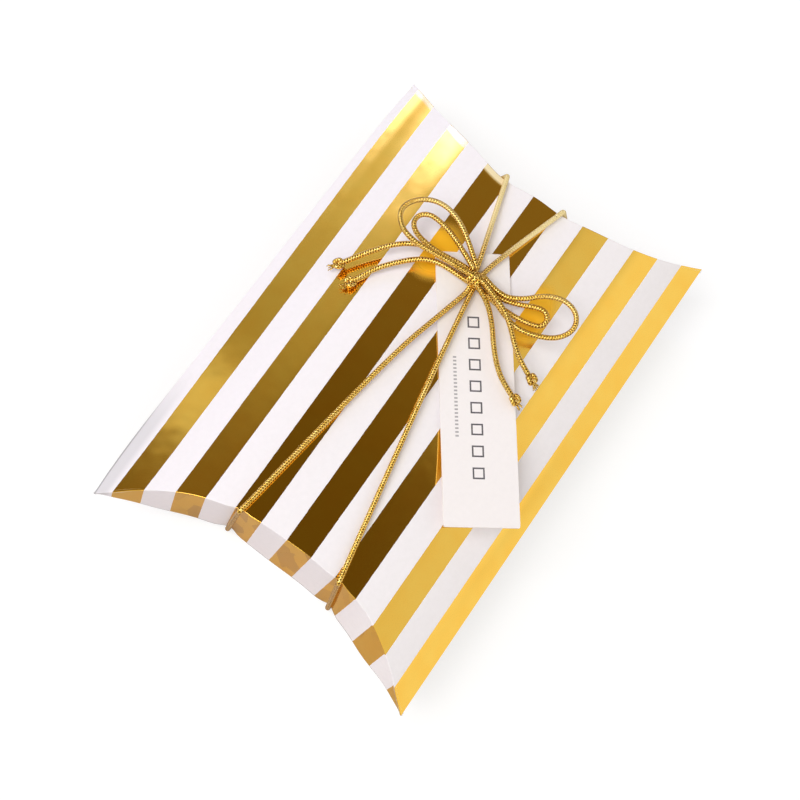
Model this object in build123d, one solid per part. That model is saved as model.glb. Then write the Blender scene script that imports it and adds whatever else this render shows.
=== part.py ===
from build123d import *
import os
from math import acos, asin, cos, degrees, pi, radians, sin, sqrt, tan

# A pillow-shaped favor box: one folded card with curved creases, tied lengthwise with two thin cords.
# X runs along the box, Y across it, Z up. The origin is on the table, under the middle of the box.

# the folded card
box_length = 125.0
box_width = 80.0
box_height = 25.0
card_thickness = 0.45
crown_flat = 6.0
crown_radius = 65.0
crown_half_width = 20.0
glue_tab_width = 10.0
glue_gap = 0.05
flap_gap = 0.12
rim_reveal = 0.8
tongue_inset = 9.0
overrun = 2.0
top_layers = 1
bottom_layers = 2
tab_layers = 3

# the hang tag
tag_length = 62.5
tag_width = 17.0
tag_thickness = 0.4
tag_corner_radius = 0.4
tag_hole_diameter = 3.0
tag_hole_to_end = 6.6
tag_heading = 215.8
tag_tilt = 2.3
tag_lift = 0.5

# the cord and its knots
cord_diameter = 1.2
cord_sides = 8
cord_lead = 2.5
crease_bend_radius = 1.25
crease_standoff = 0.9
knot_diameter = 4.2
knot_length = 2.5
knot_gap = 0.15
knot_turn_share = 0.92
bow_x = 22.8
bow_y = 1.3
tail_knot_diameter = 2.2
tail_knot_ring_radius = 0.75
tail_knot_slant = 30.0
tail_tip_length = 1.5

# where each cord crosses the creases, measured across the box
near_top_y = (12.4, -13.2)
near_bottom_y = (18.0, -18.5)
far_top_y = (9.1, -6.0)
far_bottom_y = (18.0, -18.5)

half_length = box_length / 2
half_width = box_width / 2
half_height = box_height / 2
half_flat = crown_flat / 2
cord_radius = cord_diameter / 2

# Each panel's section is a narrow flat, a shallow crown arc and a tighter side arc down to the long fold.
crown_angle = asin((crown_half_width - half_flat) / crown_radius)
joint_z = half_height - crown_radius * (1 - cos(crown_angle))
side_run = half_width - crown_half_width
side_radius = (side_run**2 + joint_z**2) / (2 * (joint_z * cos(crown_angle) - side_run * sin(crown_angle)))
side_center_y = crown_half_width - side_radius * sin(crown_angle)
side_center_z = joint_z - side_radius * cos(crown_angle)


def edge_y(inset):
    """Half width of the section at the mid plane, for a profile moved inwards by inset."""
    return side_center_y + sqrt((side_radius - inset) ** 2 - side_center_z**2)


def surface_height(y):
    """Height of the outer card above the mid plane at a distance y from the middle."""
    y = abs(y)
    if y <= half_flat:
        return half_height
    if y <= crown_half_width:
        return half_height - crown_radius + sqrt(crown_radius**2 - (y - half_flat) ** 2)
    return side_center_z + sqrt(side_radius**2 - (y - side_center_y) ** 2)


def half_section(inset):
    """Upper half of the section, moved inwards by inset. Its x is across the box and its y is up."""
    rim = edge_y(inset)
    side = side_radius - inset
    crown = crown_radius - inset
    join = degrees(pi / 2 - crown_angle)
    start = degrees(acos((rim - side_center_y) / side))
    turn = degrees(crown_angle)
    top = half_height - inset
    edges = [
        CenterArc((side_center_y, side_center_z), side, start, join - start),
        CenterArc((half_flat, half_height - crown_radius), crown, join, turn),
        Line((half_flat, top), (-half_flat, top)),
        CenterArc((-half_flat, half_height - crown_radius), crown, degrees(pi / 2), turn),
        CenterArc((-side_center_y, side_center_z), side, degrees(pi) - join, join - start),
        Line((-rim, 0), (rim, 0)),
    ]
    return make_face(Wire(edges))


def lengthwise(inset, side=1):
    """The half section as a bar along the whole box, above (side 1) or below (side -1) the mid plane."""
    bar = extrude(Plane.YZ * half_section(inset), amount=half_length, both=True)
    return bar if side > 0 else mirror(bar, about=Plane.XY)


def upright(inset, end):
    """The same curve stood on end: what a vertical cut leaves outside the flap at the +X or -X end."""
    plane = Plane(origin=(end * half_length, 0, 0), x_dir=(0, 1, 0), z_dir=(0, 0, end))
    face = plane * half_section(inset)
    return extrude(face, amount=half_height + overrun, both=True)


def onto_table(body):
    """The folded card is drawn about its mid plane, so it is lifted by half its height at the end."""
    return Pos(0, 0, half_height) * body


def stop_behind(body, layers):
    """Cut a lengthwise piece off behind so many layers of flap, at both ends."""
    for end in (-1, 1):
        body -= upright(-layers * (card_thickness + flap_gap), end)
    return body


def panel(side, layers):
    """Top (side 1) or bottom (side -1) panel, stopped behind that many flaps at both ends."""
    shell = lengthwise(0, side) - lengthwise(card_thickness, side)
    return onto_table(stop_behind(shell, layers))


def glue_tab():
    """The narrow tab along one long fold, stuck inside the top panel."""
    outer = card_thickness + glue_gap
    strip = lengthwise(outer) - lengthwise(outer + card_thickness)
    keep = Pos(0, half_width, 0) * Box(box_length, 2 * glue_tab_width, box_height)
    return onto_table(stop_behind(strip & keep, tab_layers))


def outer_flap(end):
    """The flap that hangs from the top crease and covers the whole end, down to the rim below."""
    sheet = upright(-card_thickness, end) - upright(0, end)
    return onto_table(sheet & (lengthwise(0) + lengthwise(rim_reveal, -1)))


def inner_flap(end):
    """The flap that stands on the bottom crease behind the outer one, with a rounded tongue."""
    front = card_thickness + flap_gap
    sheet = upright(-front - card_thickness, end) - upright(-front, end)
    return onto_table(sheet & (lengthwise(0, -1) + lengthwise(tongue_inset)))


def route_radii(points):
    """The largest arc that each corner's two runs allow: 0.45 of the shorter run."""
    points = [Vector(*p) for p in points]
    radii = []
    for before, here, after in zip(points, points[1:], points[2:]):
        turn = radians((here - before).get_angle(after - here))
        shorter = min((here - before).length, (after - here).length)
        radii.append(0.45 * shorter / tan(turn / 2))
    return radii


def cord_section():
    """The cord's outline: a few flat sides keep the long tubes light."""
    return RegularPolygon(cord_radius, cord_sides)


def tube(points, radii=None):
    """A cord along straight runs joined by tangent arcs."""
    points = [Vector(*p) for p in points]
    if len(points) == 2:
        path = Wire([Line(points[0], points[1])])
    else:
        path = FilletPolyline(*points, radius=radii or route_radii(points)).wire()
    section = Plane(origin=points[0], z_dir=points[1] - points[0]) * cord_section()
    body = sweep(section, path=path)
    tightest = min(radii or route_radii(points)) if len(points) > 2 else 0
    ratio = body.volume / (section.area * path.length)
    print(f"cord {path.length:6.1f} mm, tightest arc {tightest:5.2f} mm, volume by length {ratio:.4f}")
    return body


def top_corner(end, y):
    """Where a cord's line turns over the top crease at y."""
    height = surface_height(y)
    return Vector(end * (half_length - height + crease_standoff), y, half_height + height + crease_standoff)


def bottom_corner(end, y):
    height = surface_height(y)
    return Vector(end * (half_length - height + crease_standoff), y, half_height - height - crease_standoff)


def toward(start, goal, distance):
    return start + (goal - start).normalized() * distance


# Cord routes over the top, from the bow to the creases: pulled tight, so each straight stretch is one run.
near_strand_starts = ((20.9, 1.3, 27.6), (20.9, 0.1, 27.4))
far_strand_points = (
    ((24.7, 2.0, 26.8), (32.0, 4.2, 27.1)),
    ((24.7, 0.6, 26.8), (32.0, -1.0, 27.0)),
)

# The bow: two loops and two tails on each side, from hand-placed points.
left_outer_loop = (
    (24.5, 2.0, 28.5), (27.9, 6.7, 29.6), (30.5, 10.9, 30.3), (31.6, 15.1, 30.8), (30.9, 19.1, 31.0),
    (28.1, 22.5, 30.9), (24.5, 23.6, 30.5), (21.5, 21.2, 30.1), (20.4, 17.0, 29.9), (20.9, 12.3, 29.8),
    (21.6, 7.5, 29.7), (22.1, 2.7, 29.3),
)
left_inner_loop = (
    (23.6, 2.5, 29.3), (26.4, 7.9, 29.0), (28.1, 12.2, 28.8), (28.7, 15.5, 28.7), (28.6, 17.9, 28.6),
    (27.0, 19.7, 28.5), (24.7, 19.7, 28.5), (23.1, 17.8, 28.4), (22.4, 14.5, 28.4), (22.4, 10.8, 28.4),
    (23.1, 6.8, 28.3), (23.6, 2.8, 28.0),
)
right_outer_loop = (
    (24.2, 0.2, 28.2), (22.3, -5.3, 28.3), (24.6, -10.0, 28.8), (28.4, -13.4, 29.2), (30.5, -17.8, 29.2),
    (29.6, -21.8, 28.8), (26.2, -23.4, 28.4), (22.3, -21.5, 28.0), (19.8, -17.2, 27.7),
    (18.7, -12.5, 27.5), (19.7, -8.4, 27.6), (21.4, -4.2, 28.0), (22.9, -0.3, 28.1),
)
right_inner_loop = (
    (23.2, -0.2, 26.85), (22.4, -4.8, 26.8), (23.5, -9.0, 27.0), (25.2, -12.5, 27.3), (26.1, -14.4, 27.4),
    (26.0, -16.2, 27.4), (24.6, -17.3, 27.2), (22.8, -16.9, 27.0), (22.0, -15.3, 26.8), (21.3, -12.2, 26.6),
    (21.1, -8.5, 26.4), (21.3, -4.6, 26.5), (21.5, -0.2, 27.2),
)
left_upper_tail = (
    (22.6, 2.8, 27.0), (22.9, 7.5, 27.0), (22.9, 12.2, 27.1), (21.8, 16.5, 26.8), (19.0, 20.3, 25.8),
    (15.6, 23.2, 24.5), (12.2, 25.6, 23.2), (9.5, 27.4, 22.3),
)
left_lower_tail = (
    (21.3, 2.2, 27.1), (21.2, 6.6, 27.3), (20.8, 10.6, 27.3), (19.0, 14.2, 26.7), (15.5, 17.7, 25.6),
    (12.5, 20.2, 24.6), (9.5, 21.9, 23.7), (7.2, 22.9, 23.2),
)
right_near_tail = (
    (21.3, 0.2, 28.6), (19.4, -4.0, 28.5), (16.1, -7.6, 28.1), (12.3, -10.6, 27.6), (8.9, -13.8, 27.2),
    (6.6, -17.2, 26.8), (5.3, -20.7, 26.5),
)
right_far_tail = (
    (22.6, -0.3, 29.3), (21.2, -4.2, 29.4), (19.8, -8.5, 29.0), (17.6, -11.6, 28.4), (15.2, -14.3, 27.8),
    (12.9, -17.6, 27.2), (11.5, -21.1, 26.7),
)


def ring(radius, tilt=0):
    """One closed turn of cord about the Z axis."""
    section = Plane.XZ * Pos(radius, 0, 0) * cord_section()
    return Rot(tilt, 0, 0) * revolve(section, Axis.Z)


def tail_knot(points):
    """A small overhand knot on a tail: a round lump, a slanting turn round it and the short end beyond."""
    last = Vector(*points[-1])
    ahead = (last - Vector(*points[-2])).normalized()
    radius = tail_knot_diameter / 2
    half_disc = RegularPolygon(radius, cord_sides) & Pos(radius, 0) * Rectangle(2 * radius, 2 * radius)
    lump = revolve(Plane.XZ * half_disc, Axis.Z)
    turn = ring(tail_knot_ring_radius, tail_knot_slant)
    tip = extrude(cord_section(), amount=radius + tail_tip_length)
    return Plane(origin=last + ahead * cord_radius, z_dir=ahead) * (lump + turn + tip)


def tag_place():
    """The tag's own frame: origin at its hole, x towards its free end, z out of its printed face."""
    z = box_height + tag_lift
    return Pos(bow_x, bow_y, z) * Rot(tag_tilt, 0, 0) * Rot(0, 0, tag_heading)


def hang_tag():
    outline = RectangleRounded(tag_length, tag_width, tag_corner_radius)
    sheet = Pos(tag_length / 2 - tag_hole_to_end, 0, 0) * outline - Circle(tag_hole_diameter / 2)
    return tag_place() * extrude(sheet, amount=tag_thickness)


def bow_knot():
    """Two turns of cord round the crossing, their core, and the strand that goes down through the tag."""
    tag_top = box_height + tag_lift + tag_thickness
    z = tag_top + knot_gap + knot_diameter / 2
    place = Pos(bow_x, bow_y, z) * Rot(90, 0, 0)
    ring_radius = knot_diameter / 2 - cord_radius
    core = Cylinder(ring_radius, knot_length)
    offset = knot_turn_share * cord_radius
    turns = [Pos(0, 0, side * offset) * ring(ring_radius) for side in (-1, 1)]
    body = place * (core + turns)
    stub = z - box_height - knot_gap
    downward = (Align.CENTER, Align.CENTER, Align.MAX)
    return body + Pos(bow_x, bow_y, z) * Cylinder(cord_radius, stub, align=downward)


def save(name, body):
    body.label = name
    export_step(body, f"parts/{name}.step")


def build():
    os.makedirs("parts", exist_ok=True)
    save("top_panel", panel(1, top_layers))
    save("bottom_panel", panel(-1, bottom_layers))
    save("glue_tab", glue_tab())
    for label, end in (("near", -1), ("far", 1)):
        save(f"{label}_outer_flap", outer_flap(end))
        save(f"{label}_inner_flap", inner_flap(end))
    save("hang_tag", hang_tag())
    save("bow_knot", bow_knot())

    # The wraps: over the top, down each end flap and back under the box.
    bend = [crease_bend_radius] * 2
    for n, label in enumerate(("a", "b")):
        near_top = top_corner(-1, near_top_y[n])
        near_bottom = bottom_corner(-1, near_bottom_y[n])
        far_top = top_corner(1, far_top_y[n])
        far_bottom = bottom_corner(1, far_bottom_y[n])
        near_start = Vector(*near_strand_starts[n])
        far_start, far_lift = (Vector(*p) for p in far_strand_points[n])
        near_top_end = toward(near_top, near_start, cord_lead)
        far_top_end = toward(far_top, far_lift, cord_lead)
        near_bottom_end = toward(near_bottom, far_bottom, cord_lead)
        far_bottom_end = toward(far_bottom, near_bottom, cord_lead)
        save(f"cord_{label}_near_strand", tube([near_start, near_top_end]))
        save(f"cord_{label}_far_strand", tube([far_start, far_lift, far_top_end]))
        save(f"cord_{label}_near_end", tube([near_top_end, near_top, near_bottom, near_bottom_end], bend))
        save(f"cord_{label}_far_end", tube([far_top_end, far_top, far_bottom, far_bottom_end], bend))
        save(f"cord_{label}_underside", tube([near_bottom_end, far_bottom_end]))

    loops = {
        "left_outer_loop": left_outer_loop,
        "left_inner_loop": left_inner_loop,
        "right_outer_loop": right_outer_loop,
        "right_inner_loop": right_inner_loop,
    }
    tails = {
        "left_upper_tail": left_upper_tail,
        "left_lower_tail": left_lower_tail,
        "right_near_tail": right_near_tail,
        "right_far_tail": right_far_tail,
    }
    for name, points in (loops | tails).items():
        save(name, tube(points))
    for name, points in tails.items():
        save(f"{name}_knot", tail_knot(points))


build()
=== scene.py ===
import math
import random

import bmesh
import bpy
from mathutils import Matrix, Vector


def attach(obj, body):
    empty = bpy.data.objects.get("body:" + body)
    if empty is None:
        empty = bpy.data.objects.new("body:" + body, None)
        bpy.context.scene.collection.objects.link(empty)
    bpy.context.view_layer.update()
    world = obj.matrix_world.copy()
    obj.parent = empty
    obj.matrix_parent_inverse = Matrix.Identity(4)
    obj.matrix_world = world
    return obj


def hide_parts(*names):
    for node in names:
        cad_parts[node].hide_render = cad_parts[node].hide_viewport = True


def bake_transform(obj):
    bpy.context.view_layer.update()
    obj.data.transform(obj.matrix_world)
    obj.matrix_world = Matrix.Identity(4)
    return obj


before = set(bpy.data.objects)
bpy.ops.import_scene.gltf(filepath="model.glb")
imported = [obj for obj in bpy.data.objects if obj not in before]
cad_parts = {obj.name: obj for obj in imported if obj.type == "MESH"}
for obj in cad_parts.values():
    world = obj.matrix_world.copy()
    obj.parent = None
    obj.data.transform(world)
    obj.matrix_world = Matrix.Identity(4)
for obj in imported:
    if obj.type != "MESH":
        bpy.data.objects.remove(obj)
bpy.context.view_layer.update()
scene = bpy.context.scene
scene.view_settings.view_transform = "Standard"
mm = 0.001


def v(x, y, z):
    return Vector((x, y, z)) * mm


# camera, set where the photograph was taken from
camera = {"lens": 81.0, "sensor": 36.0, "eye": (-143.139, -10.335, 391.648)}
camera["right"] = (0.552739, -0.813624, 0.180268)
camera["up"] = (0.760223, 0.580907, 0.290875)
camera["back"] = (-0.341381, -0.023733, 0.939625)

cameraData = bpy.data.cameras.new("photoCamera")
cameraData.lens = camera["lens"]
cameraData.sensor_width = camera["sensor"]
cameraData.clip_start = 0.01
cameraData.clip_end = 20
photoCamera = bpy.data.objects.new("photoCamera", cameraData)
scene.collection.objects.link(photoCamera)
axes = Matrix((camera["right"], camera["up"], camera["back"])).transposed()
photoCamera.matrix_world = Matrix.Translation(v(*camera["eye"])) @ axes.to_4x4()
scene.camera = photoCamera
print("camera set")


# small helpers for node materials
def newMaterial(name):
    material = bpy.data.materials.new(name)
    material.use_nodes = True
    material.node_tree.nodes.clear()
    return material, material.node_tree


def mathNode(tree, operation, a, b=None, c=None, clamp=False):
    node = tree.nodes.new("ShaderNodeMath")
    node.operation = operation
    node.use_clamp = clamp
    for socket, value in zip(node.inputs, (a, b, c)):
        if value is None:
            continue
        if isinstance(value, (int, float)):
            socket.default_value = value
        else:
            tree.links.new(value, socket)
    return node.outputs[0]


def times(tree, result, *factors):
    for factor in factors:
        result = mathNode(tree, "MULTIPLY", result, factor)
    return result


def scaled(tree, value, factor, added):  # the value times the factor, and then something added
    return mathNode(tree, "MULTIPLY_ADD", value, factor, added)


def oneMinus(tree, value):
    return mathNode(tree, "SUBTRACT", 1.0, value)


def highest(tree, values):
    result = values[0]
    for value in values[1:]:
        result = mathNode(tree, "MAXIMUM", result, value)
    return result


def stepUp(tree, value, low, high):  # 0 below low, 1 above high, smooth between
    node = tree.nodes.new("ShaderNodeMapRange")
    node.interpolation_type = "SMOOTHSTEP"
    tree.links.new(value, node.inputs["Value"])
    node.inputs["From Min"].default_value = low
    node.inputs["From Max"].default_value = high
    return node.outputs["Result"]


def stepOver(tree, value, span):  # the same over a span in millimetres
    return stepUp(tree, value, span[0] * mm, span[1] * mm)


def readAttribute(tree, name):
    node = tree.nodes.new("ShaderNodeAttribute")
    node.attribute_name = name
    return node.outputs["Fac"]


def objectPlace(tree):
    return tree.nodes.new("ShaderNodeTexCoord").outputs["Object"]


def splitAxes(tree, vector):
    node = tree.nodes.new("ShaderNodeSeparateXYZ")
    tree.links.new(vector, node.inputs[0])
    return node.outputs


def noise(tree, vector, scale, detail=3.0, roughness=0.5):
    node = tree.nodes.new("ShaderNodeTexNoise")
    node.inputs["Scale"].default_value = scale
    node.inputs["Detail"].default_value = detail
    node.inputs["Roughness"].default_value = roughness
    tree.links.new(vector, node.inputs["Vector"])
    return node.outputs["Fac"]


def ramp(tree, value, stops):
    node = tree.nodes.new("ShaderNodeValToRGB")
    tree.links.new(value, node.inputs["Fac"])
    elements = node.color_ramp.elements
    while len(elements) < len(stops):
        elements.new(0.5)
    for element, (place, colour) in zip(elements, stops):
        element.position = place
        element.color = (*colour, 1)
    return node.outputs["Color"]


def mottled(tree, value, low, high):  # from one colour to the other over the middle of a noise
    return ramp(tree, value, ((0.3, low), (0.7, high)))


def bump(tree, height, strength, distance):
    node = tree.nodes.new("ShaderNodeBump")
    node.inputs["Strength"].default_value = strength
    node.inputs["Distance"].default_value = distance * mm
    tree.links.new(height, node.inputs["Height"])
    return node.outputs["Normal"]


def blended(tree, factor, a, b):
    node = tree.nodes.new("ShaderNodeMix")
    node.data_type = "RGBA"
    for socket, value in ((node.inputs["Factor"], factor), (node.inputs["A"], a), (node.inputs["B"], b)):
        if isinstance(value, tuple):
            socket.default_value = (*value, 1)
        else:
            tree.links.new(value, socket)
    return node.outputs["Result"]


def twoShaders(tree, kind, a, b, factor=None):  # mixed by a factor, or added together
    node = tree.nodes.new(kind)
    if factor is not None:
        tree.links.new(factor, node.inputs[0])
    tree.links.new(a.outputs[0], node.inputs[-2])
    tree.links.new(b.outputs[0], node.inputs[-1])
    return node


def showSurface(tree, shader, output="ShaderNodeOutputMaterial"):
    tree.links.new(shader.outputs[0], tree.nodes.new(output).inputs["Surface"])


# the cord: braided metallic thread, its pattern laid out by distance along it and turn round it;
# its colour, mixed with random flecks, is painted shade in the hollows between the strands and painted glints
# on top of them
cordLook = {
    "strands": 6, "pitch": 0.62, "metallic": 0.94, "roughness": 0.24,
    "tones": ((0.28, (0.19, 0.085, 0.008)), (0.5, (0.93, 0.53, 0.06)), (0.72, (1.0, 0.79, 0.3))),
    "braid": {"share": 0.3, "shift": -0.06, "strength": 0.6, "depth": 0.07},
    "flecks": {"scale": 2600, "detail": 2.0, "share": 0.8},
}
cordLook["washed"] = {  # painted light: paler, less metallic colour where strong light falls on the cord's far stretch
    "x": (26, 40), "z": (21, 25), "colour": (1.0, 0.83, 0.42), "share": 0.85, "metallic": -0.72,
}


def cordMaterial():
    material, tree = newMaterial("braidedGoldCord")
    braidLook, fleckLook, washed = cordLook["braid"], cordLook["flecks"], cordLook["washed"]
    turns = times(tree, readAttribute(tree, "along"), 2 * math.pi / (cordLook["pitch"] * mm))
    angle = times(tree, readAttribute(tree, "around"), math.pi * cordLook["strands"])
    one = mathNode(tree, "SINE", mathNode(tree, "ADD", turns, angle))
    other = mathNode(tree, "SINE", mathNode(tree, "SUBTRACT", turns, angle))
    braid = highest(tree, (one, other))
    place = objectPlace(tree)
    flecks = noise(tree, place, fleckLook["scale"], fleckLook["detail"])
    woven = scaled(tree, braid, braidLook["share"], braidLook["shift"])
    # painted shade in the braid's hollows and painted glints on its strands, mixed with random flecks
    colour = ramp(tree, scaled(tree, flecks, fleckLook["share"], woven), cordLook["tones"])
    x, y, z = splitAxes(tree, place)
    # painted light on the cord's far stretch
    farStretch = times(tree, stepOver(tree, x, washed["x"]), stepOver(tree, z, washed["z"]))
    colour = blended(tree, times(tree, farStretch, washed["share"]), colour, washed["colour"])
    shader = tree.nodes.new("ShaderNodeBsdfPrincipled")
    tree.links.new(colour, shader.inputs["Base Color"])
    metallic = scaled(tree, farStretch, washed["metallic"], cordLook["metallic"])
    tree.links.new(metallic, shader.inputs["Metallic"])
    shader.inputs["Roughness"].default_value = cordLook["roughness"]
    tree.links.new(bump(tree, braid, braidLook["strength"], braidLook["depth"]), shader.inputs["Normal"])
    showSurface(tree, shader)
    return material


goldCord = cordMaterial()
cordDiameter = 1.2 * mm
cordMesh = {"resolution": 16, "ringSpacing": 0.3 * mm, "sides": 12, "threadSides": 10, "fraySides": 6}


def nurbsPath(name, points):  # the smooth line of a cord, read from one open NURBS spline
    curveData = bpy.data.curves.new(name, "CURVE")
    curveData.dimensions = "3D"
    curveData.resolution_u = cordMesh["resolution"]
    spline = curveData.splines.new("NURBS")
    spline.points.add(len(points) - 1)
    for controlPoint, place in zip(spline.points, points):
        controlPoint.co = (*v(*place), 1)
    spline.order_u = 3
    spline.use_endpoint_u = True
    curveObject = bpy.data.objects.new(name, curveData)
    scene.collection.objects.link(curveObject)
    bpy.context.view_layer.update()
    line = bpy.data.meshes.new_from_object(curveObject)
    path = [vertex.co.copy() for vertex in line.vertices]
    bpy.data.objects.remove(curveObject)
    bpy.data.meshes.remove(line)
    return path


def evenly(path, spacing):  # the same line with rings spaced evenly, so that the braid keeps its pitch
    total = sum((b - a).length for a, b in zip(path, path[1:]))
    count = max(4, round(total / spacing))
    result, walked, index = [path[0].copy()], 0.0, 0
    for n in range(1, count):
        target = total * n / count
        while index < len(path) - 2 and walked + (path[index + 1] - path[index]).length < target:
            walked += (path[index + 1] - path[index]).length
            index += 1
        step = (path[index + 1] - path[index]).length
        result.append(path[index].lerp(path[index + 1], min(1, (target - walked) / step)))
    return result + [path[-1].copy()]


def addTube(bm, layers, path, diameter, sides, closed):
    count = len(path)
    side = (path[1] - path[0]).normalized().orthogonal().normalized()
    rings, walked = [], 0.0
    for n, place in enumerate(path):
        ahead = path[(n + 1) % count] if closed or n < count - 1 else place
        behind = path[n - 1] if closed or n else place
        tangent = (ahead - behind).normalized()
        side = (side - tangent * side.dot(tangent)).normalized()
        other = tangent.cross(side)
        walked += (place - path[n - 1]).length if n else 0
        ring = []
        for k in range(sides):
            turn = 2 * math.pi * k / sides
            vertex = bm.verts.new(place + (side * math.cos(turn) + other * math.sin(turn)) * diameter / 2)
            vertex[layers[0]] = walked
            vertex[layers[1]] = k / sides
            ring.append(vertex)
        rings.append(ring)
    pairs = list(zip(rings, rings[1:])) + ([(rings[-1], rings[0])] if closed else [])
    for a, b in pairs:
        for k in range(sides):
            bm.faces.new((a[k], a[(k + 1) % sides], b[(k + 1) % sides], b[k]))
    if not closed:
        bm.faces.new(list(reversed(rings[0])))
        bm.faces.new(rings[-1])


def threadPiece(name, threads):  # each thread has its path, diameter and sides, and is closed or not
    mesh = bpy.data.meshes.new(name)
    bm = bmesh.new()
    layers = [bm.verts.layers.float.new(label) for label in ("along", "around")]
    for path, diameter, sides, closed in threads:
        addTube(bm, layers, path, diameter, sides, closed)
    bm.normal_update()
    bm.to_mesh(mesh)
    bm.free()
    for polygon in mesh.polygons:
        polygon.use_smooth = len(polygon.vertices) == 4
    mesh.materials.append(goldCord)
    piece = bpy.data.objects.new(name, mesh)
    scene.collection.objects.link(piece)
    return piece


def cordPiece(name, points, body="box", replaces=()):
    path = evenly(nurbsPath(name, points), cordMesh["ringSpacing"])
    tube = threadPiece(name, [(path, cordDiameter, cordMesh["sides"], False)])
    if body:
        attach(tube, body)
    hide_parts(*replaces)
    return tube, path


# bow: each of its four cords makes one loop, goes through the knot and ends in a tail
bow = {}
bow["leftOuter"] = [
    (24.5, 2.0, 28.5), (27.9, 6.7, 29.6), (30.5, 10.9, 30.3), (31.6, 15.1, 30.8), (30.9, 19.1, 31.0),
    (28.1, 22.5, 30.9), (24.5, 23.6, 30.5), (21.5, 21.2, 30.1), (20.4, 17.0, 29.9), (20.9, 12.3, 29.8),
    (21.6, 7.5, 29.7), (22.1, 2.7, 29.3),
]
bow["leftInner"] = [
    (23.6, 2.5, 29.3), (26.4, 7.9, 29.0), (28.1, 12.2, 28.8), (28.7, 15.5, 28.7), (28.6, 17.9, 28.6),
    (27.0, 19.7, 28.5), (24.7, 19.7, 28.5), (23.1, 17.8, 28.4), (22.4, 14.5, 28.4), (22.4, 10.8, 28.4),
    (23.1, 6.8, 28.3), (23.6, 2.8, 28.0),
]
bow["rightOuter"] = [
    (24.2, 0.2, 28.2), (22.3, -5.3, 28.3), (24.6, -10.0, 28.8), (28.4, -13.4, 29.2), (30.5, -17.8, 29.2),
    (29.6, -21.8, 28.8), (26.2, -23.4, 28.4), (22.3, -21.5, 28.0), (19.8, -17.2, 27.7),
    (18.7, -12.5, 27.5), (19.7, -8.4, 27.6), (21.4, -4.2, 28.0), (22.9, -0.3, 28.1),
]
bow["rightInner"] = [
    (23.2, -0.2, 26.85), (22.4, -4.8, 26.8), (23.5, -9.0, 27.0), (25.2, -12.5, 27.3), (26.1, -14.4, 27.4),
    (26.0, -16.2, 27.4), (24.6, -17.3, 27.2), (22.8, -16.9, 27.0), (22.0, -15.3, 26.8), (21.3, -12.2, 26.6),
    (21.1, -8.5, 26.4), (21.3, -4.6, 26.5), (21.5, -0.2, 27.2),
]
bow["rightFarTail"] = [
    (22.6, -0.3, 29.3), (21.2, -4.2, 29.4), (19.8, -8.5, 29.0), (17.6, -11.6, 28.4), (15.2, -14.3, 27.8),
    (12.9, -17.6, 27.2), (11.5, -21.1, 26.7),
]
bow["rightNearTail"] = [
    (21.3, 0.2, 28.6), (19.4, -4.0, 28.5), (16.1, -7.6, 28.1), (12.3, -10.6, 27.6), (8.9, -13.8, 27.2),
    (6.6, -17.2, 26.8), (5.3, -20.7, 26.5),
]
bow["leftUpperTail"] = [
    (22.6, 2.8, 27.0), (22.9, 7.5, 27.0), (22.9, 12.2, 27.1), (21.8, 16.5, 26.8), (19.0, 20.3, 25.8),
    (15.6, 23.2, 24.5), (12.2, 25.6, 23.2), (9.5, 27.4, 22.3),
]
bow["leftLowerTail"] = [
    (21.3, 2.2, 27.1), (21.2, 6.6, 27.3), (20.8, 10.6, 27.3), (19.0, 14.2, 26.7), (15.5, 17.7, 25.6),
    (12.5, 20.2, 24.6), (9.5, 21.9, 23.7), (7.2, 22.9, 23.2),
]
bowCords = (
    ("leftOuter", "rightFarTail", "left_outer_loop", "right_far_tail"),
    ("leftInner", "rightNearTail", "left_inner_loop", "right_near_tail"),
    ("rightOuter", "leftUpperTail", "right_outer_loop", "left_upper_tail"),
    ("rightInner", "leftLowerTail", "right_inner_loop", "left_lower_tail"),
)

# each tail ends in a pulled overhand knot, which looks like a trefoil, and its loose braid stands out past it
tailKnot = {
    "ahead": 0.75, "width": 0.399, "depth": 0.722, "weave": 1.35, "rings": 72, "thread": 1.0 * mm,
    "tip": 2.0, "tipSteps": 4, "tipThread": 0.85, "frays": 9, "frayStart": (1.7, 0.3), "fraySteps": 4,
    "frayLength": (0.9, 1.8), "frayLean": (0.136, 0.476), "frayBend": 1.4, "frayWidth": 0.24 * mm, "seed": 7,
}


def anyBetween(shake, low, high):
    return low + (high - low) * shake.random()


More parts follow.
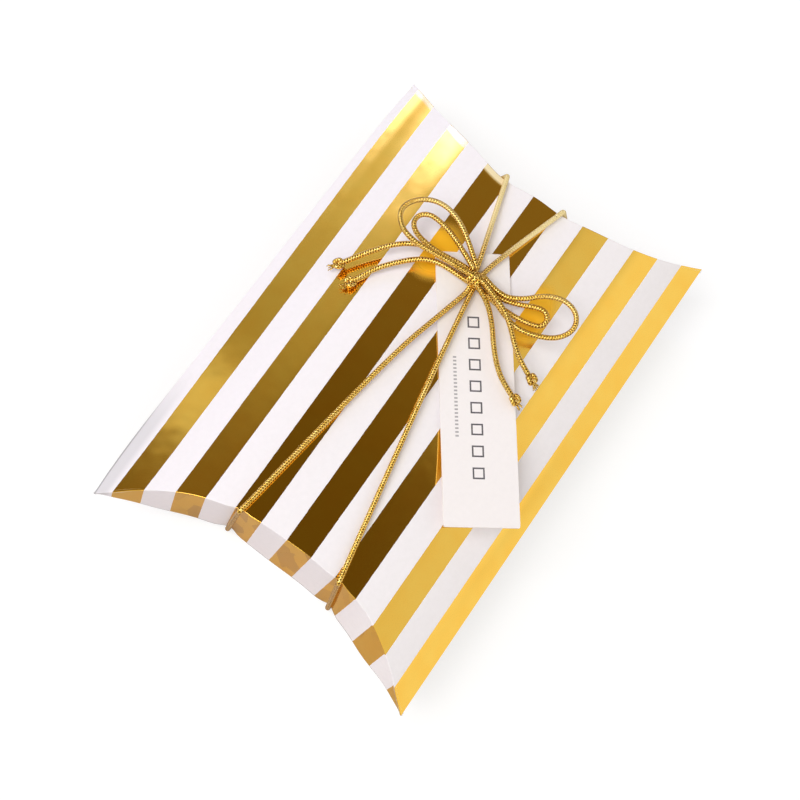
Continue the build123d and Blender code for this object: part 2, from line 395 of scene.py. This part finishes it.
def tieTailKnot(name, points, node, shake):
    last, before = Vector(points[-1]), Vector(points[-2])
    ahead = (last - before).normalized()
    turned = ahead.to_track_quat("Z", "Y").to_matrix()
    centre = last + ahead * tailKnot["ahead"]
    ring = []
    for n in range(tailKnot["rings"]):
        t = 2 * math.pi * n / tailKnot["rings"]
        x = (math.sin(t) + tailKnot["weave"] * math.sin(2 * t)) * tailKnot["width"]
        y = (math.cos(t) - tailKnot["weave"] * math.cos(2 * t)) * tailKnot["width"]
        z = -tailKnot["depth"] * math.sin(3 * t)
        ring.append((centre + turned @ Vector((x, y, z))) * mm)
    tipSteps = [tailKnot["tip"] * n / tailKnot["tipSteps"] for n in range(tailKnot["tipSteps"] + 1)]
    tip = [(last + ahead * step) * mm for step in tipSteps]
    threads = [(ring, tailKnot["thread"], cordMesh["threadSides"], True)]
    threads.append((tip, cordDiameter * tailKnot["tipThread"], cordMesh["threadSides"], False))
    startAhead, startOut = tailKnot["frayStart"]
    for n in range(tailKnot["frays"]):
        turn = 2 * math.pi * n / tailKnot["frays"] + shake.random()
        sideways = turned @ Vector((math.cos(turn), math.sin(turn), 0))
        reach = anyBetween(shake, *tailKnot["frayLength"])
        lean = anyBetween(shake, *tailKnot["frayLean"])
        strand = []
        for step in range(tailKnot["fraySteps"] + 1):
            share = step / tailKnot["fraySteps"]
            away = startOut + lean * reach * share ** tailKnot["frayBend"]
            strand.append((last + ahead * (startAhead + reach * share) + sideways * away) * mm)
        threads.append((strand, tailKnot["frayWidth"], cordMesh["fraySides"], False))
    knot = threadPiece(name, threads)
    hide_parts(node)
    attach(knot, "box")
    return knot


shake = random.Random(tailKnot["seed"])
for loop, tail, loopNode, tailNode in bowCords:
    points = bow[loop] + bow[tail]
    cord, path = cordPiece(loop + "Cord", points, replaces=(loopNode, tailNode))
    endKnot = tieTailKnot(tail + "Knot", bow[tail], tailNode + "_knot", shake)
print("bow tied")

# wraps: two cords lengthwise round the box, straight over the top, down each end and back underneath
wraps = {
    "near": ((12.4, 13.7), (-13.2, -14.6)),  # where cords A and B cross each end's top and bottom crease
    "far": ((9.1, 15.6), (-6.0, -15.5)),
    "knotSide": (((19.1, 0.9, 27.1), (20.9, 1.3, 27.7)), ((18.1, -0.1, 27.1), (20.9, 0.3, 27.2))),
    "slack": ((-5.0, 6.6, 26.4), (-5.0, -4.1, 26.75)),
    "straight": 6.0,  # of cord before the knot
    "farSide": (((24.7, 2.0, 26.8), (32.0, 4.2, 27.1)), ((24.7, 0.6, 26.8), (32.0, -1.0, 27.0))),
    "standoff": 0.75,
    "tight": 0.5,  # the same at the box's foot, where the cord bites into the card
    "lowest": 0.65,  # the table allows no less
    "lead": 2.5,
    "tuck": 1.0,
}

# the folded card's section: a narrow flat, a shallow crown arc and a tighter side arc down to each long fold
card = {
    "length": 125.0, "width": 80.0, "height": 25.0, "thickness": 0.45, "gap": 0.12,
    "flat": 3.0, "crown": 65.0, "crownEdge": 20.0, "crease": 0.12,
    "corner": 0.25,  # the sheets stop this short of the knife edge where both panels meet
    "askew": {"by": 1.6, "across": (-28, 37), "along": (-48, 42)},  # the print, towards the far left
    "steps": {"across": 88, "along": 24, "crease": 6, "down": 22}, "splitAngle": 50,
    "outerFlap": {"setBack": 0.8, "halfWidth": 38.6, "sliver": 0.02},  # the sliver is left at the corners
    "innerFlap": {"setBack": 9.0, "halfWidth": 26.0, "sliver": 0.02, "creaseBack": 0.6},
}
half = card["height"] / 2
halfLength = card["length"] / 2
cornerY = card["width"] / 2 - card["corner"]
oneLayer = card["thickness"] + card["gap"]
facing = {"near": -1, "far": 1}
crownAngle = math.asin((card["crownEdge"] - card["flat"]) / card["crown"])
joinHeight = half - card["crown"] * (1 - math.cos(crownAngle))
sideRun = card["width"] / 2 - card["crownEdge"]
sideReach = joinHeight * math.cos(crownAngle) - sideRun * math.sin(crownAngle)
sideRadius = (sideRun**2 + joinHeight**2) / (2 * sideReach)
sideY = card["crownEdge"] - sideRadius * math.sin(crownAngle)
sideZ = joinHeight - sideRadius * math.cos(crownAngle)


def portion(value, start, stop):  # 0 at start and 1 at stop
    return min(1.0, max(0.0, (value - start) / (stop - start)))


def sectionPoint(y, inset=0.0):  # height above the mid plane and the outward slope angle at y
    a = abs(y)
    sign = 1 if y >= 0 else -1
    if a <= card["flat"]:
        return half - inset, 0.0
    if a <= card["flat"] + (card["crown"] - inset) * math.sin(crownAngle):
        angle = math.asin((a - card["flat"]) / (card["crown"] - inset))
        return half - card["crown"] + (card["crown"] - inset) * math.cos(angle), sign * angle
    angle = math.asin(min(1, (a - sideY) / (sideRadius - inset)))
    return sideZ + (sideRadius - inset) * math.cos(angle), sign * angle


# how far the tight cords and handling pull the folded ends in
pulls = {
    "foot": ((0.9, 13.4, 7, 2), (-1.2, -25, 9, 2), (-1.2, -33, 9.5, 4), (-1.3, 36, 12, 4)),
    "belly": ((1.2, -27.5, 11.5, 4),),
    "farTop": ((1.8, 9.5, 8, 2), (0.9, -6, 6, 2)),  # each swell has its depth, y, reach and power
    "bites": {"at": ((13.7, -1.3), (-14.6, 1.4)), "depth": 1.0, "reach": 2.0, "fade": 0.5},  # of the cords
    "nearLeft": ((-0.3, 2.5),),
    "nearRight": ((-0.9, 2.5),),
    "farLeft": ((0.8, 2.5),),
    "farRight": ((-2.7, 1.8), (-0.7, 12)),  # each corner has its depth and power
}


def swell(y, places):
    return sum(depth * math.exp(-(((y - middle) / reach) ** power)) for depth, middle, reach, power in places)


def pulledIn(end, y, z):  # at y across the end and z above the table
    share = portion(z, 0, card["height"])
    corner = pulls[("near" if end < 0 else "far") + ("Right" if y < 0 else "Left")]
    pull = sum(depth * portion(abs(y), 0, card["width"] / 2) ** power for depth, power in corner)
    if end > 0:
        return pull + share * swell(y, pulls["farTop"])
    bites = pulls["bites"]
    bitten = [(bites["depth"], foot + shift * share, bites["reach"], 2) for foot, shift in bites["at"]]
    pull += (1 - share) * swell(y, pulls["foot"]) + share * swell(y, pulls["belly"])
    return pull + (1 - bites["fade"] * share) * swell(y, bitten)


sprung = {"from": 36.5, "power": 1.2, "right": 0.66, "left": 0.65, "leftMiddle": 0.85, "endPower": 8}


def sprungOut(x, y, z):  # the long folds stand out a little, and the left one more in the middle
    by = sprung["right"]
    if y > 0:
        by = sprung["left"] + sprung["leftMiddle"] * (1 - portion(abs(x), 0, halfLength) ** sprung["endPower"])
    by *= portion(abs(y), sprung["from"], cornerY) ** sprung["power"]
    return Vector((x, y + math.copysign(by, y), z))


def acrossSheet(x, y):  # distance across the flat sheet, with the print's askewness
    a = abs(y)
    distance = a
    if a > card["flat"]:
        crownPart = min(a, card["crownEdge"]) - card["flat"]
        distance = card["flat"] + card["crown"] * math.asin(crownPart / card["crown"])
    if a > card["crownEdge"]:
        distance += sideRadius * (math.asin((a - sideY) / sideRadius) - crownAngle)
    distance = math.copysign(distance, y)
    askew = card["askew"]
    return distance - askew["by"] * portion(distance, *askew["across"]) * portion(x, *askew["along"])


def creaseCorner(end, y, side):  # where a wrap's line turns over the top or bottom crease
    height = sectionPoint(y)[0]
    standoff = wraps["standoff"] if side > 0 else wraps["tight"]
    away = halfLength - height + standoff - pulledIn(end, y, half + side * height)
    return Vector((end * away, y, max(wraps["lowest"], half + side * (height + standoff))))


def towards(place, goal, distance):
    return place + (goal - place).normalized() * distance


for n, label in enumerate("AB"):
    lower = label.lower()
    knotSide, knotEntry = (Vector(p) for p in wraps["knotSide"][n])
    farStart, farLift = (Vector(p) for p in wraps["farSide"][n])
    corners = {}
    for end, way in facing.items():
        topY, bottomY = wraps[end][n]
        corners[end] = (creaseCorner(way, topY, 1), creaseCorner(way, bottomY, -1))
    goals = {"near": (knotSide, corners["far"][1]), "far": (farLift, corners["near"][1])}
    leads = {}
    for end, way in facing.items():
        top, bottom = corners[end]
        topGoal, bottomGoal = goals[end]
        leads[end] = (towards(top, topGoal, wraps["lead"]), towards(bottom, bottomGoal, wraps["lead"]))
        points = [
            leads[end][0], towards(top, topGoal, wraps["tuck"]), top, towards(top, bottom, wraps["tuck"]),
            top.lerp(bottom, 0.5), towards(bottom, top, wraps["tuck"]), bottom,
            towards(bottom, bottomGoal, wraps["tuck"]), leads[end][1],
        ]
        cordNode = f"cord_{lower}_{end}_end"
        piece, path = cordPiece(f"{end}EndCord{label}", points, body=None, replaces=(cordNode,))
        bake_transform(piece)
    slack = Vector(wraps["slack"][n])
    straight = towards(knotSide, slack, wraps["straight"])
    topPoints = [leads["near"][0], slack, straight, knotSide, knotEntry, farStart, farLift, leads["far"][0]]
    topCord, path = cordPiece(f"topCord{label}", topPoints,
                              replaces=(f"cord_{lower}_near_strand", f"cord_{lower}_far_strand"))
    under = [leads["near"][1], leads["near"][1].lerp(leads["far"][1], 0.5), leads["far"][1]]
    underCord, path = cordPiece(f"underCord{label}", under, replaces=(f"cord_{lower}_underside",))
print("cords round the box laid")

# knot: turns of cord round the crossing, and the strand that goes down through the tag
knot = {
    "centre": (22.3, 1.2, 28.05), "radius": 1.4, "height": 1.33, "pitch": 0.99, "turns": 2.4, "start": 0.6,
    "steps": 39, "tagStrand": [(22.8, 1.3, 28.3), (22.8, 1.3, 26.9), (22.8, 1.35, 25.15)],
}
windings = []
for n in range(knot["steps"] + 1):
    t = n / knot["steps"]
    turn = 2 * math.pi * knot["turns"] * t + knot["start"]
    x, y, z = knot["centre"]
    y += (t - 0.5) * knot["turns"] * knot["pitch"]
    windings.append((x + knot["radius"] * math.cos(turn), y, z + knot["height"] * math.sin(turn)))
cordPiece("bowKnot", windings, replaces=("bow_knot",))
cordPiece("tagStrand", knot["tagStrand"])
print("knot tied")


# card materials: white stock outside with gold foil stripes, and plain stock inside
stock = {
    "white": (0.92, 0.88, 0.9), "inside": (0.86, 0.845, 0.83), "roughness": 0.5, "insideRoughness": 0.65,
    "fibres": {"scale": 900, "detail": 4.0, "roughness": 0.6, "shade": 0.97, "strength": 0.12, "depth": 0.03},
    "margin": {"across": (39.2, 40.8), "colour": (0.72, 0.695, 0.71)},  # painted shade beside the left fold
    # painted shade: a dark line along the long fold
    "fold": {"across": (42.1, 42.5), "colour": (0.3, 0.29, 0.3)},
    "nearHalf": (-46, -26),  # both fade out over this stretch
    "rim": {"span": (0.62, 0.86), "colour": (0.16, 0.14, 0.13)},  # painted shadow along the outer flaps' free edge, where the gap below is in shade
}

foil = {
    "first": 39.25,  # the left edge of the first stripe, across from the middle of the flat panel
    "period": 12.78, "width": 6.3, "wobble": {"by": 0.12, "scale": 700, "detail": 2.0},
    "colour": (0.96, 0.61, 0.11), "warmer": (1.0, 0.93, 0.8), "clouds": 160, "roughness": 0.1,
    "edgeTint": (1.0, 0.94, 0.76),  # how it mirrors when seen nearly edge on
    "ripple": {"scale": 45, "roughness": 0.55, "strength": 0.35, "depth": 0.25},
    "lean": {"by": 1.4, "across": (25, 5)},  # of the stripes on the near flap, which is pushed sideways
}
foil["dents"] = {  # on the end flaps
    "scale": 300, "stretch": 0.4, "span": (0.4, 0.85), "across": (27, 22), "depth": 0.9,
    "colour": (0.72, 0.42, 0.1), "edgeTint": (1.0, 0.93, 0.7),
}
foil["rubbed"] = {  # painted highlight along the far crease, as a pale line that is narrower towards the left
    "span": (0.5, 0.75), "from": (4, 7), "narrower": (22, 30), "narrowerBy": 0.18,
    "colour": (1.0, 0.86, 0.55), "metallic": -0.85,
}
foil["glow"] = {  # painted reflection of the gold loops on the foil beside them
    "spots": ((24.3, 11.8, 7.6, 5.8), (24.8, -13.8, 8.6, 4.6)), "fade": (0.3, 1.35), "above": (18, 20),
    "colour": (1.0, 0.53, 0.02), "metallic": 0.15, "roughness": 0.3,
}


def stockShader(tree, colour, place, roughness):
    shader = tree.nodes.new("ShaderNodeBsdfPrincipled")
    look = stock["fibres"]
    fibres = noise(tree, place, look["scale"], look["detail"], look["roughness"])
    shade = tuple(c * look["shade"] for c in colour)
    tree.links.new(mottled(tree, fibres, shade, colour), shader.inputs["Base Color"])
    shader.inputs["Roughness"].default_value = roughness
    tree.links.new(bump(tree, fibres, look["strength"], look["depth"]), shader.inputs["Normal"])
    return shader


def foilShader(tree, place, x, y, z, rimPlace):
    dents, rubbed, glow, ripple = foil["dents"], foil["rubbed"], foil["glow"], foil["ripple"]
    warmer = tuple(c * s for c, s in zip(foil["colour"], foil["warmer"]))
    gold = mottled(tree, noise(tree, place, foil["clouds"]), warmer, foil["colour"])

    worn = readAttribute(tree, "worn")  # above 0 on the outer flaps, where the foil is dented and dull
    upright = tree.nodes.new("ShaderNodeMapping")
    upright.inputs["Scale"].default_value = (1, 1, dents["stretch"])
    tree.links.new(place, upright.inputs["Vector"])
    facets = tree.nodes.new("ShaderNodeTexVoronoi")
    facets.inputs["Scale"].default_value = dents["scale"]
    tree.links.new(upright.outputs[0], facets.inputs["Vector"])
    facetTone = tree.nodes.new("ShaderNodeSeparateColor")
    tree.links.new(facets.outputs["Color"], facetTone.inputs[0])
    dull = times(tree, stepUp(tree, facetTone.outputs[0], *dents["span"]), worn)
    gold = blended(tree, dull, gold, dents["colour"])

    # painted highlight: a pale, less metallic line along the far crease
    narrower = times(tree, stepOver(tree, y, rubbed["narrower"]), -rubbed["narrowerBy"])
    line = stepUp(tree, scaled(tree, rimPlace, -1, narrower), *rubbed["span"])
    line = times(tree, line, stepOver(tree, y, rubbed["from"]))
    gold = blended(tree, line, gold, rubbed["colour"])

    def squaredOff(value, centre, reach):
        off = mathNode(tree, "DIVIDE", mathNode(tree, "SUBTRACT", value, centre * mm), reach * mm)
        return times(tree, off, off)

    # painted reflection: orange, less metallic spots beside the loops
    spots = []
    for centreX, centreY, reachX, reachY in glow["spots"]:
        away = mathNode(tree, "ADD", squaredOff(x, centreX, reachX), squaredOff(y, centreY, reachY))
        spots.append(oneMinus(tree, stepUp(tree, away, *glow["fade"])))
    lit = times(tree, highest(tree, spots), stepOver(tree, z, glow["above"]))

    shader = tree.nodes.new("ShaderNodeBsdfPrincipled")
    tree.links.new(blended(tree, lit, gold, glow["colour"]), shader.inputs["Base Color"])
    metallic = scaled(tree, lit, glow["metallic"] - 1, 1.0)
    tree.links.new(scaled(tree, line, rubbed["metallic"], metallic), shader.inputs["Metallic"])
    roughness = scaled(tree, lit, glow["roughness"] - foil["roughness"], foil["roughness"])
    tree.links.new(roughness, shader.inputs["Roughness"])
    tree.links.new(blended(tree, worn, foil["edgeTint"], dents["edgeTint"]), shader.inputs["Specular Tint"])
    ripples = noise(tree, place, ripple["scale"], roughness=ripple["roughness"])
    height = scaled(tree, dull, dents["depth"], ripples)
    tree.links.new(bump(tree, height, ripple["strength"], ripple["depth"]), shader.inputs["Normal"])
    return shader


def stripedCard():
    material, tree = newMaterial("goldStripedCard")
    across = readAttribute(tree, "across")
    rimPlace = readAttribute(tree, "rim")  # 1 at the outer flaps' free edge, -1 at the far crease
    place = objectPlace(tree)
    x, y, z = splitAxes(tree, place)

    wobble = noise(tree, place, foil["wobble"]["scale"], foil["wobble"]["detail"])
    edge = scaled(tree, wobble, foil["wobble"]["by"] * mm, across)
    start = foil["first"] + 5 * foil["period"]  # a few periods more, so that the count stays above 0
    counted = mathNode(tree, "SUBTRACT", start * mm, edge)
    inPeriod = mathNode(tree, "FLOORED_MODULO", counted, foil["period"] * mm)
    inStripe = mathNode(tree, "LESS_THAN", inPeriod, foil["width"] * mm)

    paper = stockShader(tree, stock["white"], place, stock["roughness"])
    white = paper.inputs["Base Color"].links[0].from_socket
    nearHalf = oneMinus(tree, stepOver(tree, x, stock["nearHalf"]))
    # painted shade beside the left fold and a painted shade line along the fold, on the near half
    for part in ("margin", "fold"):
        strip = times(tree, stepOver(tree, across, stock[part]["across"]), nearHalf)
        white = blended(tree, strip, white, stock[part]["colour"])
    # painted shadow line along the outer flaps' free edge
    rim = stepUp(tree, rimPlace, *stock["rim"]["span"])
    tree.links.new(blended(tree, rim, white, stock["rim"]["colour"]), paper.inputs["Base Color"])

    gold = foilShader(tree, place, x, y, z, rimPlace)
    showSurface(tree, twoShaders(tree, "ShaderNodeMixShader", paper, gold, inStripe))
    return material


def plainCard(name, colour, roughness):
    material, tree = newMaterial(name)
    showSurface(tree, stockShader(tree, colour, objectPlace(tree), roughness))
    return material


outsideStock = stripedCard()
insideStock = plainCard("cardInside", stock["inside"], stock["insideRoughness"])


# a sheet from rows of (place, outward normal, distance across), with the card's thickness inwards
def cardSheet(name, rows, worn=False, rim=0.0):
    mesh = bpy.data.meshes.new(name)
    bm = bmesh.new()
    acrossLayer = bm.verts.layers.float.new("across")
    wornLayer = bm.verts.layers.float.new("worn")
    rimLayer = bm.verts.layers.float.new("rim")
    last = len(rows[0]) - 1
    outer, inner = [], []
    for row in rows:
        outerRow, innerRow = [], []
        for j, (place, normal, across) in enumerate(row):
            a = bm.verts.new(place * mm)
            b = bm.verts.new((place - normal * card["thickness"]) * mm)
            a[acrossLayer] = b[acrossLayer] = across * mm
            a[wornLayer] = b[wornLayer] = portion(abs(place.y), *foil["dents"]["across"]) if worn else 0.0
            a[rimLayer] = b[rimLayer] = rim if j == last else 0.0
            outerRow.append(a)
            innerRow.append(b)
        outer.append(outerRow)
        inner.append(innerRow)

    def patch(a, b, c, d, slotIndex):  # slots: outside, inside and cut edges
        face = bm.faces.new((a, b, c, d))
        face.material_index = slotIndex
        face.smooth = slotIndex < 2

    for i in range(len(rows) - 1):
        for j in range(last):
            patch(outer[i][j], outer[i][j + 1], outer[i + 1][j + 1], outer[i + 1][j], 0)
            patch(inner[i][j], inner[i + 1][j], inner[i + 1][j + 1], inner[i][j + 1], 1)
    for i in range(len(rows) - 1):
        patch(outer[i][0], outer[i + 1][0], inner[i + 1][0], inner[i][0], 2)
        patch(outer[i][last], inner[i][last], inner[i + 1][last], outer[i + 1][last], 2)
    for j in range(last):
        patch(outer[0][j], inner[0][j], inner[0][j + 1], outer[0][j + 1], 2)
        patch(outer[-1][j], outer[-1][j + 1], inner[-1][j + 1], inner[-1][j], 2)
    bmesh.ops.recalc_face_normals(bm, faces=bm.faces)
    bm.to_mesh(mesh)
    bm.free()
    for material in (outsideStock, insideStock, insideStock):
        mesh.materials.append(material)
    sheetObject = bpy.data.objects.new(name, mesh)
    scene.collection.objects.link(sheetObject)
    sheetObject.modifiers.new("edges", "EDGE_SPLIT").split_angle = math.radians(card["splitAngle"])
    return sheetObject


def acrossSteps():  # places across the sheet, closer together towards the long folds
    count = card["steps"]["across"]
    return [cornerY * math.sin(math.pi / 2 * (2 * n / count - 1)) for n in range(count + 1)]


def panelRows(side, behind):
    rows = []
    steps = card["steps"]["along"]
    for y in acrossSteps():
        height, angle = sectionPoint(y)
        away = halfLength - height - behind - card["crease"]
        z = half + side * height
        normal = Vector((0, math.sin(angle), side * math.cos(angle)))
        farEnd = away - pulledIn(1, y, z)
        nearEnd = pulledIn(-1, y, z) - away
        row = []
        for k in range(steps + 1):
            x = nearEnd + (farEnd - nearEnd) * k / steps
            row.append((sprungOut(x, y, z), normal, acrossSheet(x, y)))
        rows.append(row)
    return rows


topPanel = cardSheet("topPanel", panelRows(1, 0.0), rim=-1.0)
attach(topPanel, "box")
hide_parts("top_panel")
bottomPanel = cardSheet("bottomPanel", panelRows(-1, oneLayer))
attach(bottomPanel, "box")
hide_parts("bottom_panel")


def flapRows(end, side, behind, flap):  # from the crease, round its bend and along the end to the free edge
    rows = []
    radius = card["crease"]
    bend, down = card["steps"]["crease"], card["steps"]["down"]
    for y in acrossSteps():
        height, angle = sectionPoint(y)
        away = halfLength - height - behind
        panelNormal = Vector((0, math.sin(angle), side * math.cos(angle)))
        flapNormal = Vector((end, -math.tan(angle), 0)).normalized()
        row = []
        for k in range(bend + 1):
            turn = math.pi / 2 * k / bend
            z = half + side * (height - radius + radius * math.cos(turn))
            x = end * (away - radius + radius * math.sin(turn) - pulledIn(end, y, z))
            normal = panelNormal.lerp(flapNormal, math.sin(turn) ** 2).normalized()
            row.append((sprungOut(x, y, z), normal, acrossSheet(x, y)))
        tip = -max(0.0, sectionPoint(y, flap["setBack"])[0]) if abs(y) < flap["halfWidth"] else 0.0
        start = height - radius
        stop = min(tip, start - flap["sliver"])
        lean = foil["lean"]["by"] * portion(y, *foil["lean"]["across"]) if end < 0 < side else 0.0
        for k in range(1, down + 1):
            z = half + side * (start + (stop - start) * k / down)
            x = end * (away - pulledIn(end, y, z))
            shift = lean * portion(z, card["height"], 0)
            row.append((sprungOut(x, y, z), flapNormal, acrossSheet(x, y) - shift))
        rows.append(row)
    return rows


for label, end in facing.items():
    outerFlap = cardSheet(label + "OuterFlap", flapRows(end, 1, 0.0, card["outerFlap"]), worn=True, rim=1.0)
    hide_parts(label + "_outer_flap")
    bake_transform(outerFlap)
    innerFlap = cardSheet(label + "InnerFlap", flapRows(end, -1, oneLayer, card["innerFlap"]))
    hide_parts(label + "_inner_flap")
    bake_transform(innerFlap)

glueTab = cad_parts["glue_tab"]
glueTab.data.materials.clear()
glueTab.data.materials.append(insideStock)
print("card folded")


# tag: a strip of smooth card; the photograph's printing isn't copied, plain marks take its place
tag = {
    "pivot": (22.8, 1.3, 25.5), "tilt": 2.3, "heading": 215.8, "white": (0.92, 0.87, 0.86), "roughness": 0.55,
    "fibres": {"scale": 800, "detail": 4.0, "roughness": 0.6, "shade": 0.975, "strength": 0.1, "depth": 0.03},
    "face": (0.2, 0.3),  # the print starts at this height over the pivot
}
tag["marks"] = {
    "first": 8.4, "last": 46.5, "period": 4.9, "length": 2.6, "across": -0.35, "width": 2.7, "line": 0.36,
    "ink": (0.11, 0.1, 0.11),
}
tag["dots"] = {
    "first": 17.7, "last": 36.2, "period": 0.85, "length": 0.4, "across": -4.9, "width": 0.75, "line": None,
    "ink": (0.42, 0.4, 0.4),
}


def tagMaterial():
    material, tree = newMaterial("tagCard")
    place = objectPlace(tree)
    placed = tree.nodes.new("ShaderNodeMapping")
    placed.vector_type = "TEXTURE"
    placed.inputs["Location"].default_value = v(*tag["pivot"])
    tilt = Matrix.Rotation(math.radians(tag["tilt"]), 4, "X")
    heading = Matrix.Rotation(math.radians(tag["heading"]), 4, "Z")
    placed.inputs["Rotation"].default_value = (tilt @ heading).to_euler()
    tree.links.new(place, placed.inputs["Vector"])
    down, side, depth = splitAxes(tree, placed.outputs[0])
    onFace = stepOver(tree, depth, tag["face"])

    def between(value, low, high):
        above = mathNode(tree, "GREATER_THAN", value, low * mm)
        below = mathNode(tree, "LESS_THAN", value, high * mm)
        return times(tree, above, below)

    def column(marks):  # the same block again and again down the tag, filled or only outlined
        start = mathNode(tree, "SUBTRACT", down, marks["first"] * mm)
        step = mathNode(tree, "FLOORED_MODULO", start, marks["period"] * mm)

        def block(inset):
            reach = marks["width"] / 2 - inset
            along = between(step, inset, marks["length"] - inset)
            return times(tree, along, between(side, marks["across"] - reach, marks["across"] + reach))

        shape = block(0)
        if marks["line"]:
            shape = mathNode(tree, "SUBTRACT", shape, block(marks["line"]), clamp=True)
        return times(tree, shape, between(down, marks["first"], marks["last"]), onFace)

    look = tag["fibres"]
    fibres = noise(tree, place, look["scale"], look["detail"], look["roughness"])
    shade = tuple(c * look["shade"] for c in tag["white"])
    paper = mottled(tree, fibres, shade, tag["white"])
    for marks in (tag["dots"], tag["marks"]):
        paper = blended(tree, column(marks), paper, marks["ink"])
    shader = tree.nodes.new("ShaderNodeBsdfPrincipled")
    shader.inputs["Roughness"].default_value = tag["roughness"]
    tree.links.new(paper, shader.inputs["Base Color"])
    tree.links.new(bump(tree, fibres, look["strength"], look["depth"]), shader.inputs["Normal"])
    showSurface(tree, shader)
    return material


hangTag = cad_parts["hang_tag"]
hangTag.data.materials.clear()
hangTag.data.materials.append(tagMaterial())
print("tag hung")


# studio: white floor, a soft lamp behind the camera and a room that the foil mirrors
floorLook = {"size": 6.0, "below": 0.1 * mm, "base": 0.68, "lit": 0.36, "bounced": (0.53, 0.465, 0.465)}


def floorMaterial():  # the camera sees an even white, and the object gets a warmer bounce from it
    material, tree = newMaterial("studioFloor")
    seen = tree.nodes.new("ShaderNodeLightPath")
    direct = highest(tree, (seen.outputs["Is Camera Ray"], seen.outputs["Is Transmission Ray"]))
    lit = tree.nodes.new("ShaderNodeBsdfDiffuse")
    lit.inputs["Color"].default_value = (floorLook["lit"],) * 3 + (1,)
    base = tree.nodes.new("ShaderNodeEmission")
    base.inputs["Color"].default_value = (1, 1, 1, 1)
    base.inputs["Strength"].default_value = floorLook["base"]
    shown = twoShaders(tree, "ShaderNodeAddShader", lit, base)
    bounced = tree.nodes.new("ShaderNodeBsdfDiffuse")
    bounced.inputs["Color"].default_value = (*floorLook["bounced"], 1)
    showSurface(tree, twoShaders(tree, "ShaderNodeMixShader", bounced, shown, direct))
    return material


floorPlace = (0, 0, -floorLook["below"])
bpy.ops.mesh.primitive_grid_add(
    x_subdivisions=2, y_subdivisions=2, size=floorLook["size"], location=floorPlace)
floor = bpy.context.object
floor.name = "studioFloor"
floor.data.materials.append(floorMaterial())

# walls by the direction that they're seen in, where right is -y and back is -x;
# a wall starts at a soft edge, two numbers, and four numbers give it one on each side
room = {
    "ceiling": {"level": 0.12, "rise": 0.1, "riseOver": (0.25, 0.46)},
    "panel": {"level": 0.8, "x": (0.248, 0.26, 0.298, 0.306), "y": (0.8, 0.84)},
    "rightHigh": {"level": 0.76, "right": (0.1, 0.28), "x": (0.305, 0.405)},
    "rightMiddle": {"level": 0.8, "rise": 0.18, "riseOver": (0.27, 0.42), "right": (0.42, 0.66)},
    "rightLow": {"level": 1.0, "right": (0.72, 0.9)},
    "behind": {"level": 0.9, "back": (-0.15, 0.3)},
}
ahead = {"y": (0.34, 0.6)}  # the wall ahead gets brighter with x
ahead["levels"] = (
    (0.25, 0.2), (0.29, 0.27), (0.335, 0.39), (0.375, 0.47), (0.4, 0.56), (0.425, 0.68), (0.46, 0.76),
)
glare = {"level": 3.2, "x": (0.432, 0.475, 0.52, 0.6), "y": (0.5, 0.62, 0.7, 0.88), "colour": (1.0, 1.1, 2.7)}
roomTints = (  # dark walls are warm and bright ones white
    (0.12, (1.0, 0.66, 0.12)), (0.22, (1.0, 0.74, 0.3)), (0.34, (1.0, 0.9, 0.5)), (0.5, (1.0, 1.0, 0.88)),
    (0.95, (1, 1, 1)),
)


def roomWorld():
    world = bpy.data.worlds.new("studioRoom")
    world.use_nodes = True
    tree = world.node_tree
    tree.nodes.clear()
    x, y, z = splitAxes(tree, tree.nodes.new("ShaderNodeTexCoord").outputs["Generated"])
    ways = {"x": x, "y": y, "right": times(tree, y, -1), "back": times(tree, x, -1)}

    def wallLevel(wall):
        level = wall["level"]
        if "rise" in wall:
            level = scaled(tree, stepUp(tree, x, *wall["riseOver"]), wall["rise"], level)
        for way, value in ways.items():
            edges = wall.get(way, ())
            if edges:
                level = times(tree, stepUp(tree, value, *edges[:2]), level)
            if len(edges) > 2:
                level = times(tree, oneMinus(tree, stepUp(tree, value, *edges[2:])), level)
        return level

    brighter = ramp(tree, x, [(place, (level,) * 3) for place, level in ahead["levels"]])
    walls = [wallLevel(wall) for wall in room.values()]
    walls.append(times(tree, brighter, stepUp(tree, y, *ahead["y"])))
    level = highest(tree, walls)

    def backdrop(colour, strength):
        node = tree.nodes.new("ShaderNodeBackground")
        for socket, value in ((node.inputs["Color"], colour), (node.inputs["Strength"], strength)):
            if isinstance(value, (tuple, float)):
                socket.default_value = value
            else:
                tree.links.new(value, socket)
        return node

    walled = backdrop(ramp(tree, level, roomTints), level)
    bright = backdrop((*glare["colour"], 1), wallLevel(glare))
    mirrored = twoShaders(tree, "ShaderNodeAddShader", walled, bright)
    white = backdrop((1, 1, 1, 1), 1.0)  # what the camera sees past the floor
    seen = tree.nodes.new("ShaderNodeLightPath").outputs["Is Camera Ray"]
    mix = twoShaders(tree, "ShaderNodeMixShader", mirrored, white, seen)
    showSurface(tree, mix, "ShaderNodeOutputWorld")
    scene.world = world


roomWorld()

lamp = {"at": (-0.45, 0.48, 1.09), "size": 0.8, "power": 8.6}
lampData = bpy.data.lights.new("key", "AREA")
lampData.shape = "SQUARE"
lampData.size = lamp["size"]
lampData.energy = lamp["power"]
lampObject = bpy.data.objects.new("key", lampData)
scene.collection.objects.link(lampObject)
lampObject.location = lamp["at"]
lampObject.rotation_euler = (-Vector(lamp["at"])).to_track_quat("-Z", "Y").to_euler()
print("studio lit")
